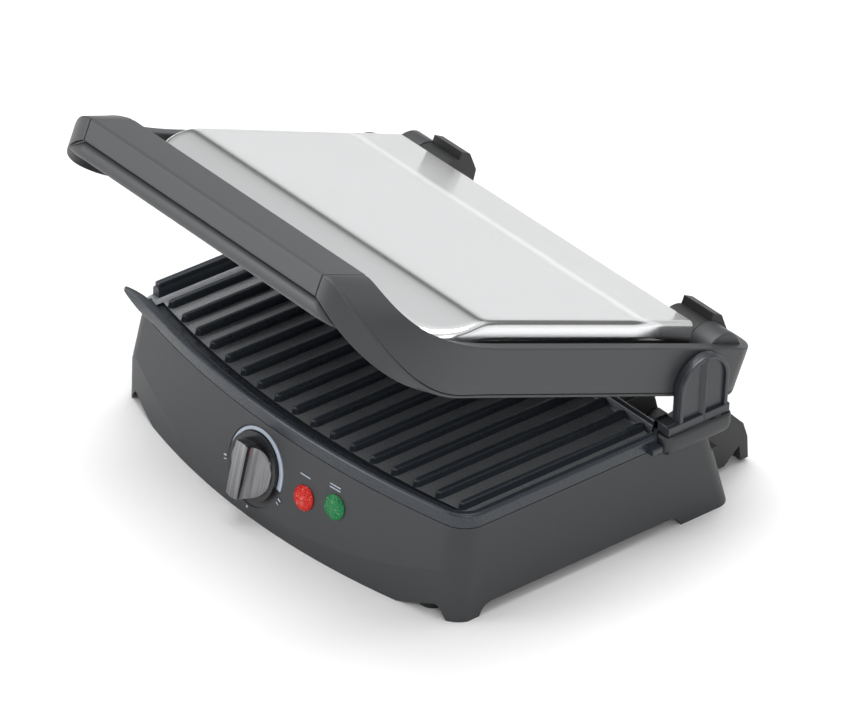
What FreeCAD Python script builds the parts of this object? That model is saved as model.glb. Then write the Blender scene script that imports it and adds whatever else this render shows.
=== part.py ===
import FreeCAD, Part
import math
import os
import re

import Sketcher
from FreeCAD import Placement, Rotation, Vector

# A contact grill with a floating lid.  Millimetres, +Z up, the front at -Y, the table at Z = 0.
# X = 0 is half way across, and Y = 0 is half way between the grip and the rear feet.

doc = FreeCAD.newDocument("panini_press")
sheet = doc.addObject("Spreadsheet::Sheet", "Dims")

SIZES = dict(
    # base housing: the seam is the edge that the cooking plate sits on
    half_bottom=160, half_seam=157.5, seam_height=63.2, front_band=-116.5, front_seam=-105.5,
    front_skirt=-118.47, rear_bottom=132.7, rear_seam=112.6, radius_band=486, radius_seam=621,
    corner_front=18, corner_rear=12, wall=3, arch_height=7.5, arch_front=-72, arch_rear=88,
    # cooking plates
    rim_height=9.8, rim_width=5, floor_height=66.2, rib_height=70.8, rib_width=5, rib_pitch=17.37,
    plate_rear=76.9, rib_rear=71.5, rib_front=-94, lip_inner=-99.5, gutter_rear=-88.1, gutter_floor=64,
    gutter_half=148, radius_ribs=688, slab_height=58, spout_edge=-146, notch_front=66.4,
    # lid hinge: the pivot at rest, the lid's tilt, and the hinge pins
    pivot_y=98.5, pivot_z=105, lid_tilt=20.9, pin_radius=5, pin_clearance=0.05, bush_radius=7,
    upright_radius=20, upright_inner=156.3, upright_outer=161.6, leg_inner=149.5, leg_outer=153.5,
    leg_front=70.3, leg_rear=80, leg_bottom=24, well_inner=102, well_floor=43.2, well_top=59.4,
    # lid frame, from the pivot: arms and handle
    arm_outer=155.5, arm_inner=147.5, arm_top=15.6, arm_bottom=-16.6, arm_rear=47.3, arm_bend=15,
    arm_straight=-200.7, arm_joint=-172, arm_return=131.6, grip_half=125.5, grip_depth=12.4,
    seam_x=108.4, handle_front=-293.7, handle_rear=-257.7, handle_top=40.6, handle_bottom=26.4,
    # upper housing, from the pivot
    float_y=24.3, float_z=6.9, barrel_radius=15, barrel_inner=104.5, barrel_outer=131.2,
    cover_half=140.7, cover_top=24.9, cover_front=-180.7, carrier_half=139, carrier_bottom=-13.5,
    upper_floor=-18.7, upper_back=-12.5, upper_tips=-22.7, upper_front=-186.0, upper_rear=-27.5,
    # front band: the rake of its upper part, the knob and the two lamps
    rake=11.6, knob_x=-6.2, knob_z=34.2, knob_radius=18.6, skirt_radius=22, shaft_radius=3,
    red_x=39, green_x=63.8, red_z=34.9, green_z=40.3, lens_radius=6, lens_rim=8.2,
    # heating elements, the posts in the upper housing, and the cord's way in
    heater_half=112, heater_bend=20, heater_radius=3.2, post_x=126, post_front=-170, post_rear=-40,
    gland_x=70, gland_z=22, screw_x=152, screw_front=-60, screw_rear=40,
)
for row, (alias, value) in enumerate(SIZES.items(), start=1):
    sheet.set(f"A{row}", alias)
    sheet.set(f"B{row}", str(value))
    sheet.setAlias(f"B{row}", alias)
doc.recompute()


def size(alias):
    return float(sheet.get(alias))


def bound(text):
    """An expression in which every name is a cell of the sheet."""
    return re.sub(r"[a-z]\w+", lambda name: "Dims." + name[0], str(text))


def value(text):
    """The number that an expression over the sheet's names has now."""
    numbers = re.sub(r"[a-z]\w+", lambda name: f"({size(name[0])})", str(text))
    total = FreeCAD.Units.Quantity(numbers.replace(" ", ""))
    return total.Value


LID = Placement(Vector(0, size("pivot_y"), size("pivot_z")), Rotation(Vector(1, 0, 0), -size("lid_tilt")))
NODES = []


def keep(item, label, place=None):
    """Make an object one of the press's sub-parts."""
    item.Label = label
    if place is not None:
        item.Placement = place
    NODES.append(item)
    return item


# ---- helpers for Part primitives and booleans -------------------------------------------------------

def block(name, x, y, z):
    """A box between two expressions on each axis."""
    item = doc.addObject("Part::Box", name)
    for prop, axis, (low, high) in zip(("Length", "Width", "Height"), "xyz", (x, y, z)):
        item.setExpression(prop, bound(f"({high}) - ({low})"))
        item.setExpression(f"Placement.Base.{axis}", bound(low))
    return item


TURNS = dict(x=Rotation(Vector(0, 1, 0), 90), y=Rotation(Vector(1, 0, 0), -90), z=Rotation())


def rod(name, axis, start, length, radius):
    """A cylinder from a start point along +x, +y or +z, or along any direction vector."""
    item = doc.addObject("Part::Cylinder", name)
    item.setExpression("Radius", bound(radius))
    item.setExpression("Height", bound(length))
    turn = TURNS[axis] if isinstance(axis, str) else Rotation(Vector(0, 0, 1), axis)
    item.Placement = Placement(Vector(), turn)
    for letter, place in zip("xyz", start):
        item.setExpression(f"Placement.Base.{letter}", bound(place))
    return item


def fuse(name, shapes):
    item = doc.addObject("Part::MultiFuse", name)
    item.Shapes = shapes
    return item


def cut(name, base, tools):
    item = doc.addObject("Part::Cut", name)
    item.Base = base
    item.Tool = tools[0] if len(tools) == 1 else fuse(name + "_tools", tools)
    return item


def group(name, shapes):
    """Separate identical solids that share one node."""
    item = doc.addObject("Part::Compound", name)
    item.Links = shapes
    return item


def mirrored(name, source):
    item = doc.addObject("Part::Mirroring", name)
    item.Source = source
    item.Normal = Vector(1, 0, 0)
    return item


def both_sides(label, source):
    """A sub-part for the right side and its mirror image for the left."""
    keep(source, label + "_right", source.Placement)
    keep(mirrored(label + "_left", source), label + "_left")


# ---- helpers for bodies ---------------------------------------------------------------------------

def new_body(name):
    return doc.addObject("PartDesign::Body", name)


def new_sketch(body, name, plane="XY_Plane", offset="0"):
    sketch = body.newObject("Sketcher::SketchObject", name)
    origin = next(f for f in body.Origin.OriginFeatures if f.Role == plane)
    sketch.AttachmentSupport = [(origin, "")]
    sketch.MapMode = "FlatFace"
    sketch.setExpression("AttachmentOffset.Base.z", bound(offset))
    return sketch


def pin_point(sketch, geometry, point, x, y):
    """Bind one point of a sketch to the sheet."""
    for kind, place in (("DistanceX", x), ("DistanceY", y)):
        number = sketch.addConstraint(Sketcher.Constraint(kind, -1, 1, geometry, point, value(place)))
        sketch.setExpression(f"Constraints[{number}]", bound(place))


def polygon(sketch, points):
    """A closed outline of straight edges, every corner bound to the sheet."""
    first = sketch.GeometryCount
    spots = [Vector(value(x), value(y), 0) for x, y in points]
    for here, there in zip(spots, spots[1:] + spots[:1]):
        sketch.addGeometry(Part.LineSegment(here, there), False)
    for number, (x, y) in enumerate(points):
        pin_point(sketch, first + number, 1, x, y)
        following = first + (number + 1) % len(points)
        sketch.addConstraint(Sketcher.Constraint("Coincident", first + number, 2, following, 1))


def bowed(sketch, half, front, radius, rear, corner_front="corner_front", corner_rear="corner_rear"):
    """A closed plan outline with a bowed front and four rounded corners, driven by the sheet."""
    first = sketch.GeometryCount
    h, f, r, b = value(half), value(front), value(radius), value(rear)
    cf, cr = value(corner_front), value(corner_rear)
    centre = Vector(0, f + r, 0)
    corner_y = centre.y - math.sqrt((r - cf) ** 2 - (h - cf) ** 2)
    lean = math.atan2(h - cf, centre.y - corner_y)
    down = 1.5 * math.pi

    def arc(middle, radius_now, start, end):
        circle = Part.Circle(middle, Vector(0, 0, 1), radius_now)
        return Part.ArcOfCircle(circle, start, end)

    parts = [
        arc(centre, r, down - lean, down + lean),
        arc(Vector(h - cf, corner_y, 0), cf, down + lean, 2 * math.pi),
        Part.LineSegment(Vector(h, corner_y, 0), Vector(h, b - cr, 0)),
        arc(Vector(h - cr, b - cr, 0), cr, 0, math.pi / 2),
        Part.LineSegment(Vector(h - cr, b, 0), Vector(cr - h, b, 0)),
        arc(Vector(cr - h, b - cr, 0), cr, math.pi / 2, math.pi),
        Part.LineSegment(Vector(-h, b - cr, 0), Vector(-h, corner_y, 0)),
        arc(Vector(cf - h, corner_y, 0), cf, math.pi, down - lean),
    ]
    sketch.addGeometry(parts, False)
    for number in range(8):
        following = first + (number + 1) % 8
        sketch.addConstraint(Sketcher.Constraint("Tangent", first + number, 2, following, 1))
    for number, text in ((0, radius), (1, corner_front), (3, corner_rear), (5, corner_rear), (7, corner_front)):
        index = sketch.addConstraint(Sketcher.Constraint("Radius", first + number, value(text)))
        sketch.setExpression(f"Constraints[{index}]", bound(text))
    for kind, number, point, text in (("DistanceX", 2, 1, half), ("DistanceX", 6, 1, f"-({half})"),
                                      ("DistanceY", 4, 1, rear), ("DistanceY", 0, 3, f"({front}) + ({radius})")):
        index = sketch.addConstraint(Sketcher.Constraint(kind, -1, 1, first + number, point, value(text)))
        sketch.setExpression(f"Constraints[{index}]", bound(text))
    sketch.addConstraint(Sketcher.Constraint("Vertical", first + 2))
    sketch.addConstraint(Sketcher.Constraint("Vertical", first + 6))
    sketch.addConstraint(Sketcher.Constraint("Horizontal", first + 4))
    sketch.addConstraint(Sketcher.Constraint("DistanceX", -1, 1, first, 3, 0))


def pad(body, name, sketch, length):
    feature = body.newObject("PartDesign::Pad", name)
    feature.Profile = sketch
    feature.setExpression("Length", bound(length))
    body.Tip = feature
    return feature


def pocket(body, name, sketch, depth):
    """Cut downward from the sketch, and make sure that something was cut."""
    doc.recompute()
    before = body.Shape.Volume
    feature = body.newObject("PartDesign::Pocket", name)
    feature.Profile = sketch
    feature.setExpression("Length", bound(depth))
    body.Tip = feature
    doc.recompute()
    if not body.Shape.Volume < before - 1:
        raise RuntimeError(name + " cuts nothing")


def repeat(body, name, feature, sketch, count, reverse):
    """Repeat a feature along the sketch's horizontal axis at the ribs' pitch."""
    doc.recompute()
    row = body.newObject("PartDesign::LinearPattern", name)
    row.Originals = [feature]
    row.Direction = (sketch, ["H_Axis"])
    row.Reversed = reverse
    row.setExpression("Length", bound(f"rib_pitch * {count}"))
    row.Occurrences = count + 1
    body.Tip = row


def extruded(name, plane, offset, points, length):
    """A body padded from one straight-edged outline; a bare tool or a finished piece."""
    body = new_body(name)
    sketch = new_sketch(body, name + "_outline", plane, offset)
    polygon(sketch, points)
    pad(body, name + "_pad", sketch, length)
    return body


def bowed_solid(name, offset, length, *outline):
    """A body padded from one bowed outline."""
    body = new_body(name)
    sketch = new_sketch(body, name + "_outline", offset=offset)
    bowed(sketch, *outline)
    pad(body, name + "_pad", sketch, length)
    return body


def turned(name, points):
    """A body turned about its own Z axis from a half profile of (radius, height) corners."""
    body = new_body(name)
    sketch = new_sketch(body, name + "_profile", "XZ_Plane")
    polygon(sketch, points)
    feature = body.newObject("PartDesign::Revolution", name + "_turn")
    feature.Profile = sketch
    feature.ReferenceAxis = (sketch, ["V_Axis"])
    feature.Angle = 360
    body.Tip = feature
    return body


# ---- base: housing, cover and feet ------------------------------------------------------------------

# The housing is a raked shell, trimmed by an upright front band that meets the rake in a smile.
housing = new_body("housing")
skirt = new_sketch(housing, "housing_skirt")
bowed(skirt, "half_bottom", "front_skirt", "radius_seam", "rear_bottom")
brow = new_sketch(housing, "housing_brow", offset="seam_height")
bowed(brow, "half_seam", "front_seam", "radius_seam", "rear_seam")
hull = housing.newObject("PartDesign::AdditiveLoft", "housing_hull")
hull.Profile = skirt
hull.Sections = [brow]
hull.Ruled = True
housing.Tip = hull
band = new_sketch(housing, "housing_band", offset="seam_height + 5")
bowed(band, "half_bottom + 1", "front_band", "radius_band", "rear_bottom + 2")
polygon(band, [("-260", "-260"), ("260", "-260"), ("260", "260"), ("-260", "260")])
pocket(housing, "housing_trim", band, "seam_height + 10")
doc.recompute()
inner_low = new_sketch(housing, "housing_inner_low", offset="-1")
bowed(inner_low, "half_bottom - wall", "front_band + wall", "radius_seam", "rear_bottom - wall")
inner_high = new_sketch(housing, "housing_inner_high", offset="seam_height - 4")
bowed(inner_high, "half_seam - wall", "front_seam + wall", "radius_seam", "rear_seam - wall")
hollow = housing.newObject("PartDesign::SubtractiveLoft", "housing_hollow")
hollow.Profile = inner_low
hollow.Sections = [inner_high]
hollow.Ruled = True
housing.Tip = hollow
mouth = new_sketch(housing, "housing_mouth", offset="seam_height + 1")
bowed(mouth, "half_seam - wall - 1.8", "front_seam + wall + 1", "radius_seam", "plate_rear", corner_rear="3")
pocket(housing, "housing_top_opening", mouth, "7")



def band_out(x):
    """The way the front band's upper part faces at some X: raked up, and bowed with the front."""
    rake, bow = math.radians(size("rake")), math.asin(value(x) / size("radius_seam"))
    return Vector(math.sin(bow) * math.cos(rake), -math.cos(bow) * math.cos(rake), math.sin(rake))


def band_point(x, z, out=0):
    """A point over the raked front band, as expressions, standing out from it by some millimetres."""
    away = band_out(x) * out
    bow = f"(radius_seam - (radius_seam ^ 2 - {x} ^ 2) ^ 0.5)"
    fall = f"(seam_height - {z}) * {math.tan(math.radians(size('rake'))):.5f}"
    return (f"{x} + ({away.x:.4f})", f"front_seam + {bow} - {fall} + ({away.y:.4f})", f"{z} + ({away.z:.4f})")


def band_rod(name, x, z, out, length, radius):
    """A cylinder that stands square to the front band, from some way out of it or behind it."""
    return rod(name, band_out(x), band_point(x, z, out), length, radius)


CORNERS = [(x, y) for y in ("screw_front", "screw_rear") for x in ("screw_x", "-screw_x")]
bosses = [rod(f"boss_{n}", "z", (x, y, "11"), "34", "5") for n, (x, y) in enumerate(CORNERS)]
shell = fuse("shell", [housing] + bosses)
openings = [
    extruded("arch", "YZ_Plane", "-170", [
        ("arch_front - 1.5", "-1"), ("arch_front + 1", "arch_height - 3.5"), ("arch_front + 4", "arch_height - 1"),
        ("arch_front + 9", "arch_height"), ("arch_rear - 7", "arch_height"), ("arch_rear - 3", "arch_height - 1.5"),
        ("arch_rear", "2"), ("arch_rear + 1.5", "-1")], "340"),
    band_rod("knob_recess", "knob_x", "knob_z", -1, "10", "26"),
    band_rod("knob_hole", "knob_x", "knob_z", -15, "30", "4.5"),
    band_rod("red_hole", "red_x", "red_z", -15, "30", "lens_radius + 0.1"),
    band_rod("green_hole", "green_x", "green_z", -15, "30", "lens_radius + 0.1"),
    rod("gland_hole", "y", ("gland_x", "110", "gland_z"), "40", "6.8"),
]
for side, sign in (("right", 1), ("left", -1)):
    for name, low, high, y, z in (
            ("well_gap", "well_inner - 0.6", "156", ("77.2", "140"), ("well_floor - 2", "75")),
            ("collar_seat", "leg_inner - 1.7", "170", ("66.8", "122.3"), ("58.4", "75")),
            ("leg_gap", "leg_inner - 1.7", "leg_outer + 1.7", ("66.8", "81.7"), ("44.8", "75"))):
        span = (low, high) if sign > 0 else (f"-({high})", f"-({low})")
        openings.append(block(f"{name}_{side}", span, y, z))
openings += [rod(f"pilot_{n}", "z", (x, y, "10"), "16", "1.5") for n, (x, y) in enumerate(CORNERS)]
keep(cut("base", shell, openings), "base_housing")

cover = bowed_solid("cover", "8.5", "2.5", "half_bottom - wall - 1", "front_band + wall + 2.6", "radius_seam",
                    "rear_bottom - wall - 4", "corner_front", "corner_rear")
vents = [block(f"vent_{n}", ("-40", "40"), (f"{-30 + 9 * n}", f"{-26 + 9 * n}"), ("8", "12")) for n in range(8)]
screw_gaps = [rod(f"cover_hole_{n}", "z", (x, y, "8"), "4", "1.7") for n, (x, y) in enumerate(CORNERS)]
keep(cut("bottom", cover, vents + screw_gaps), "bottom_cover")


def screw(name, x, y, z, length):
    """A pan-head screw pointing up, from the underside of its head."""
    return fuse(name, [rod(name + "_head", "z", (x, y, f"({z}) - 2.2"), "2.2", "3"),
                       rod(name + "_shank", "z", (x, y, z), length, "1.5")])


keep(group("cover_screws", [screw(f"cover_screw_{n}", x, y, "8.5", "15")
                            for n, (x, y) in enumerate(CORNERS)]), "base_screws")
FEET = (("130", "-84"), ("-130", "-84"), ("138", "104"), ("-138", "104"))
keep(group("feet", [rod(f"foot_{n}", "z", (x, y, "0"), "8.5", "9") for n, (x, y) in enumerate(FEET)]), "rubber_feet")

# ---- base: cooking plate and heating ------------------------------------------------------------------

plate = new_body("plate")
plate_plan = new_sketch(plate, "plate_plan", offset="seam_height")
bowed(plate_plan, "half_seam", "front_seam", "radius_seam", "plate_rear", corner_rear="4")
pad(plate, "plate_rim", plate_plan, "rim_height")
slab_plan = new_sketch(plate, "slab_plan", offset="slab_height")
bowed(slab_plan, "half_seam - wall - 2.2", "front_seam + wall + 1.6", "radius_seam", "plate_rear - 0.6",
      corner_rear="4")
pad(plate, "plate_slab", slab_plan, "seam_height - slab_height")
grill_plan = new_sketch(plate, "grill_plan", offset="seam_height + rim_height")
bowed(grill_plan, "half_seam - rim_width - 1", "lip_inner", "radius_seam", "plate_rear - rim_width + 1.6",
      corner_front="12", corner_rear="4")
pocket(plate, "plate_floor", grill_plan, "seam_height + rim_height - floor_height")
doc.recompute()
rib_plan = new_sketch(plate, "rib_plan", offset="floor_height")
polygon(rib_plan, [("-rib_width / 2", "rib_front"), ("rib_width / 2", "rib_front"),
                   ("rib_width / 2", "rib_rear"), ("-rib_width / 2", "rib_rear")])
rib = pad(plate, "rib", rib_plan, "rib_height - floor_height")
repeat(plate, "ribs_right", rib, rib_plan, 8, False)
repeat(plate, "ribs_left", rib, rib_plan, 8, True)
spout = extruded("spout", "XY_Plane", "floor_height - 1", [
    ("-126", "-91.5"), ("spout_edge", "-93"), ("-159", "-93"), ("-162", "-89"), ("-150", "-86"), ("-136", "-84.5")],
    "seam_height + rim_height - floor_height + 2.6")
left_rail = block("left_rail", ("-half_seam", "rim_width - half_seam"), ("-71", "notch_front"),
                  ("seam_height", "seam_height + rim_height + 2"))
# The gutter runs behind the bowed lip, and the ribs' front ends follow a flatter bow behind it.
gutter = cut("gutter",
             bowed_solid("gutter_front", "gutter_floor", "20", "gutter_half", "lip_inner", "radius_seam", "0", "1", "1"),
             [bowed_solid("gutter_back", "gutter_floor - 1", "22", "gutter_half + 4", "gutter_rear", "radius_ribs",
                          "2", "1", "1")])
plate_gaps = [gutter, block("spout_mouth", ("-170", "spout_edge"), ("-84.6", "-72"), ("floor_height - 1", "90"))]
plate_gaps += [block(f"hinge_notch_{n}", span, ("notch_front", "90"), ("50", "90"))
               for n, span in enumerate((("147.6", "170"), ("-170", "-147.6")))]
lugs = [block(f"lug_{n}", span, ("notch_front - 8.4", "notch_front"), ("63.4", "68"))
        for n, span in enumerate((("150", "163.5"), ("-163.5", "-150")))]
plate_solid = cut("plate_cut", fuse("plate_solid", [plate, left_rail]), plate_gaps)
keep(fuse("plate_with_lugs", [plate_solid, spout] + lugs), "lower_plate")


def heater(name, height, front, rear):
    """A U-shaped tubular heating element: three straight runs joined by two quarter rings."""
    runs = [rod(f"{name}_run_{n}", "y", (x, f"({front}) + heater_bend", height),
                f"({rear}) - ({front}) - heater_bend", "heater_radius")
            for n, x in enumerate(("heater_half", "-heater_half"))]
    runs.append(rod(name + "_front", "x", ("heater_bend - heater_half", front, height),
                    "2 * (heater_half - heater_bend)", "heater_radius"))
    for n, (sign, start) in enumerate(((1, 270), (-1, 180))):
        bend = doc.addObject("Part::Torus", f"{name}_bend_{n}")
        bend.Placement = Placement(Vector(), Rotation(Vector(0, 0, 1), start))
        for prop, text in (("Radius1", "heater_bend"), ("Radius2", "heater_radius"),
                           ("Placement.Base.x", f"{sign} * (heater_half - heater_bend)"),
                           ("Placement.Base.y", f"({front}) + heater_bend"), ("Placement.Base.z", height)):
            bend.setExpression(prop, bound(text))
        bend.Angle3 = 90
        runs.append(bend)
    return fuse(name, runs)


keep(heater("lower_heater", "slab_height - heater_radius", "-66", "60"), "lower_heating_element")
keep(cut("tray", block("tray_out", ("-138", "138"), ("-84", "72"), ("slab_height - 12", "slab_height")),
         [block("tray_in", ("-137", "137"), ("-83", "71"), ("slab_height - 11", "slab_height + 1"))]),
     "lower_reflector")
keep(rod("fuse_link", "x", ("-20", "-20", "slab_height - 3"), "26", "3"), "thermal_fuse")

# ---- base: controls -------------------------------------------------------------------------------------

keep(cut("ring", band_rod("ring_out", "knob_x", "knob_z", -1, "1.4", "25.6"),
         [band_rod("ring_in", "knob_x", "knob_z", -2, "4", "23.2")]), "dial_ring")
keep(cut("thermostat_case", band_rod("thermostat_can", "knob_x", "knob_z", -19.4, "13", "14"),
         [band_rod("thermostat_bore", "knob_x", "knob_z", -15, "20", "shaft_radius + 0.05")]), "thermostat")
keep(cut("bracket", fuse("bracket_out", [band_rod("bracket_disc", "knob_x", "knob_z", -6.4, "1.4", "19"),
                                         band_rod("bracket_neck", "knob_x", "knob_z", -6.4, "5.2", "4.4")]),
         [band_rod("bracket_bore", "knob_x", "knob_z", -7, "8", "shaft_radius + 0.1")]), "thermostat_bracket")
keep(cut("knob_solid", band_rod("knob_blank", "knob_x", "knob_z", -0.5, "16", "knob_radius"),
         [band_rod("knob_bore", "knob_x", "knob_z", -1, "11", "shaft_radius"),
          band_rod("knob_hollow", "knob_x", "knob_z", -1, "7", "15")]), "knob_body")
keep(cut("skirt_ring", band_rod("skirt_out", "knob_x", "knob_z", 0.5, "2.4", "skirt_radius"),
         [band_rod("skirt_in", "knob_x", "knob_z", 0, "14", "knob_radius")]), "knob_skirt")
keep(band_rod("shaft", "knob_x", "knob_z", -14.5, "24", "shaft_radius"), "thermostat_shaft")
LAMPS = (("power", "red_x", "red_z"), ("ready", "green_x", "green_z"))
for name, x, z in LAMPS:
    lens = turned(name + "_lens_turn", [
        ("0", "-8"), ("lens_radius", "-8"), ("lens_radius", "0.1"), ("lens_rim", "0.1"), ("lens_rim", "1"),
        ("lens_radius", "2.4"), ("0", "3.2")])
    spot = Vector(*(value(v) for v in band_point(x, z)))
    keep(lens, name + "_lens", Placement(spot, Rotation(Vector(0, 0, 1), band_out(x))))
keep(group("holders", [cut(f"{name}_holder", band_rod(f"{name}_holder_out", x, z, -24, "18", "lens_radius + 1.6"),
                           [band_rod(f"{name}_holder_in", x, z, -25, "21", "lens_radius")])
                       for name, x, z in LAMPS]), "lamp_holders")
keep(cut("gland", fuse("gland_out", [rod("gland_neck", "y", ("gland_x", "118", "gland_z"), "14", "6.8"),
                                     rod("gland_flange", "y", ("gland_x", "128.8", "gland_z"), "5.8", "9")]),
         [rod("gland_bore", "y", ("gland_x", "110", "gland_z"), "40", "3.6")]), "cord_gland")
keep(block("terminals", ("56", "84"), ("88", "104"), ("11", "26")), "terminal_block")

# ---- lid hinge: collars, wells and rear feet on the base, and the uprights that slide in them ------------

collar = cut("collar", fuse("collar_out", [
    block("collar_floor", ("148.3", "166"), ("67.3", "81.4"), ("58.4", "61.2")),
    block("collar_rim", ("156.2", "166"), ("67.3", "122"), ("58.4", "73")),
    block("collar_front", ("148.3", "166"), ("67.3", "69.4"), ("58.4", "75")),
    block("collar_guide", ("148.3", "154.9"), ("67.3", "81.4"), ("45", "61.2")),
]), [
    block("collar_pocket", ("150", "164"), ("69.4", "119.9"), ("61.2", "80")),
    block("collar_slot", ("leg_inner - 0.3", "leg_outer + 0.3"), ("leg_front - 0.6", "leg_rear + 0.3"), ("40", "62")),
])
both_sides("hinge_collar", collar)
well = fuse("well", [
    block("well_tray", ("well_inner", "155.4"), ("82", "119.4"), ("well_floor - 2", "well_floor")),
    block("well_ledge", ("well_inner", "arm_inner"), ("77.6", "82.5"), ("well_floor - 2", "well_floor")),
    block("well_front", ("well_inner", "arm_inner"), ("77.6", "79.6"), ("well_floor - 2", "well_top")),
    block("well_side", ("well_inner", "well_inner + 1.8"), ("77.6", "112"), ("well_floor - 2", "well_top")),
])
both_sides("hinge_well", well)
rear_foot = extruded("rear_foot", "YZ_Plane", "105.5", [
    ("131.75", "3"), ("120.62", "38"), ("138", "41"), ("142.5", "46"), ("147", "46.6"), ("164", "29.7"),
    ("168.4", "18.4"), ("170.2", "2.2"), ("164", "2.2"), ("162", "14"), ("150", "3")], "26")
both_sides("rear_foot", rear_foot)

upright = fuse("upright", [
    rod("upright_dome", "x", ("upright_inner", "pivot_y", "pivot_z - 5.5"), "upright_outer - upright_inner",
        "upright_radius"),
    block("upright_plate", ("upright_inner", "upright_outer"),
          ("pivot_y - upright_radius", "pivot_y + upright_radius"), ("72.8", "pivot_z - 5.5")),
    block("upright_web", ("leg_inner", "upright_outer"), ("leg_front", "leg_rear"), ("72.8", "79.4")),
    block("upright_leg", ("leg_inner", "leg_outer"), ("leg_front", "leg_rear"), ("leg_bottom", "79.4")),
    block("rib_middle", ("161", "163.4"), ("pivot_y - 1.6", "pivot_y + 1.6"), ("72.8", "pivot_z + 12.5")),
    block("rib_front", ("161", "162.8"), ("pivot_y - 15", "pivot_y - 12.4"), ("72.8", "pivot_z + 2")),
    block("rib_rear", ("161", "162.8"), ("pivot_y + 12.4", "pivot_y + 15"), ("72.8", "pivot_z + 2")),
])
upright_solid = cut("upright_solid", upright,
                    [rod("upright_bore", "x", ("150", "pivot_y", "pivot_z"), "9.5", "pin_radius")])
both_sides("hinge_upright", upright_solid)
pins = [rod(f"pin_{n}", "x", (start, "pivot_y", "pivot_z"), "12.2", "pin_radius")
        for n, start in enumerate(("147.3", "-159.5"))]
keep(group("pins", pins), "hinge_pins")

# ---- lid frame, drawn about the pivot with the lid level ---------------------------------------------------

FRAME_SECTIONS = 9
EXPONENT = 2 / 3


def frame_section(turn):
    """The frame's four corners, from the handle's end (turn 0) to the straight arm (turn 90 degrees).

    The handle's top becomes the arm's outer side, its front face narrows away to the lower edge, and
    its underside becomes the inner side."""
    angle = math.radians(turn)
    reach = size("arm_outer") - size("seam_x")
    thick = size("arm_outer") - size("arm_inner")
    top, bottom = size("arm_top"), size("arm_bottom")
    part = turn / 90
    sine, cosine = math.sin(angle), max(math.cos(angle), 0)
    straight = size("arm_straight")
    blend = 0.5 * (sine + part)
    square = (sine ** EXPONENT, cosine ** EXPONENT)
    settled = straight + 20                                 # the top edge settles further back
    top_x = size("seam_x") + reach * square[0]
    top_y = settled + (size("handle_rear") - settled) * square[1]
    outer_x = size("seam_x") + reach * sine
    outer_y = straight + (size("handle_front") - straight) * cosine
    close = min(max((turn - 55) / 35, 0), 1)
    return [
        Vector(top_x, top_y, size("handle_top") + (top - size("handle_top")) * blend),
        Vector(outer_x, outer_y, size("handle_top") + (bottom - size("handle_top")) * sine ** 2),
        Vector(outer_x - thick * close, outer_y, size("handle_bottom") - 0.01
               + (bottom - size("handle_bottom")) * sine ** 1.3),
        Vector(size("seam_x") + (reach - thick) * square[0], top_y,
               size("handle_bottom") + (top - size("handle_bottom")) * blend),
    ]


def wire(corners):
    return Part.makePolygon(corners + corners[:1])


sections = [frame_section(90 * n / (FRAME_SECTIONS - 1)) for n in range(FRAME_SECTIONS)]
sections.append([Vector(size(x), size("arm_joint"), size(z)) for x, z in (
    ("arm_outer", "arm_top"), ("arm_outer", "arm_bottom"), ("arm_inner", "arm_bottom"), ("arm_inner", "arm_top"))])
twist = doc.addObject("Part::Feature", "arm_twist")
twist.Shape = Part.makeLoft([wire(corners) for corners in sections], True, True)

# Behind the twist the arm is a flat bar that wraps round behind the upper housing's barrel.
bend_centre = ("arm_outer - arm_bend", "arm_rear - arm_bend", "arm_bottom")
bend_outer = rod("bend_outer", "z", bend_centre, "arm_top - arm_bottom", "arm_bend")
bend_outer.Angle = 90
bend_inner = rod("bend_inner", "z", bend_centre, "arm_top - arm_bottom", "arm_bend - (arm_outer - arm_inner)")
arm_body = fuse("arm_body", [
    twist,
    block("arm_bar", ("arm_inner", "arm_outer"), ("arm_joint", "arm_rear - arm_bend"), ("arm_bottom", "arm_top")),
    cut("arm_corner", bend_outer, [bend_inner]),
    block("arm_wrap", ("arm_return", "arm_outer - arm_bend"), ("arm_rear - (arm_outer - arm_inner)", "arm_rear"),
          ("arm_bottom", "arm_top")),
    rod("arm_boss", "x", ("arm_return", "float_y", "float_z"), "18", "barrel_radius + 1")])
arm_solid = cut("arm_solid", arm_body, [rod("arm_bore", "x", ("140", "0", "0"), "30", "bush_radius"),
                                        rod("float_bore", "x", ("120", "float_y", "float_z"), "25", "4")])
arm_solid.Placement = LID
both_sides("arm", arm_solid)

handle_blank = extruded("handle_blank", "YZ_Plane", "-seam_x", [
    ("handle_front + 1.5", "handle_top"), ("handle_front", "handle_top - 1.5"), ("handle_front", "handle_bottom"),
    ("handle_rear", "handle_bottom"), ("handle_rear", "handle_top - 3"), ("handle_rear - 3", "handle_top")],
    "2 * seam_x")
# The grip fills the hollow under the handle; its ends stay clear of the arms' twisting undersides.
grip_right = [("100", "handle_bottom - grip_depth"), ("grip_half", "handle_bottom - grip_depth + 0.1"),
              ("122", "handle_bottom - 9.1"), ("118", "handle_bottom - 6"), ("112", "handle_bottom - 2"),
              ("seam_x", "handle_bottom")]
grip_left = [(f"-{x}", z) for x, z in reversed(grip_right)]
grip_blank = extruded("grip_blank", "XZ_Plane", "-(handle_rear - 2)", grip_left + grip_right,
                      "handle_rear - handle_front - 3")


def grip_screws(name):
    """Two screws up through the grip into the cover, or the holes for them."""
    return [fuse(f"{name}_{n}", [
        rod(f"{name}_head_{n}", "z", (x, "handle_rear - 15", "handle_bottom - grip_depth"), "5", "3.2"),
        rod(f"{name}_shank_{n}", "z", (x, "handle_rear - 15", "handle_bottom - 8"), "16", "1.7")])
            for n, x in enumerate(("-80", "80"))]


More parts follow.
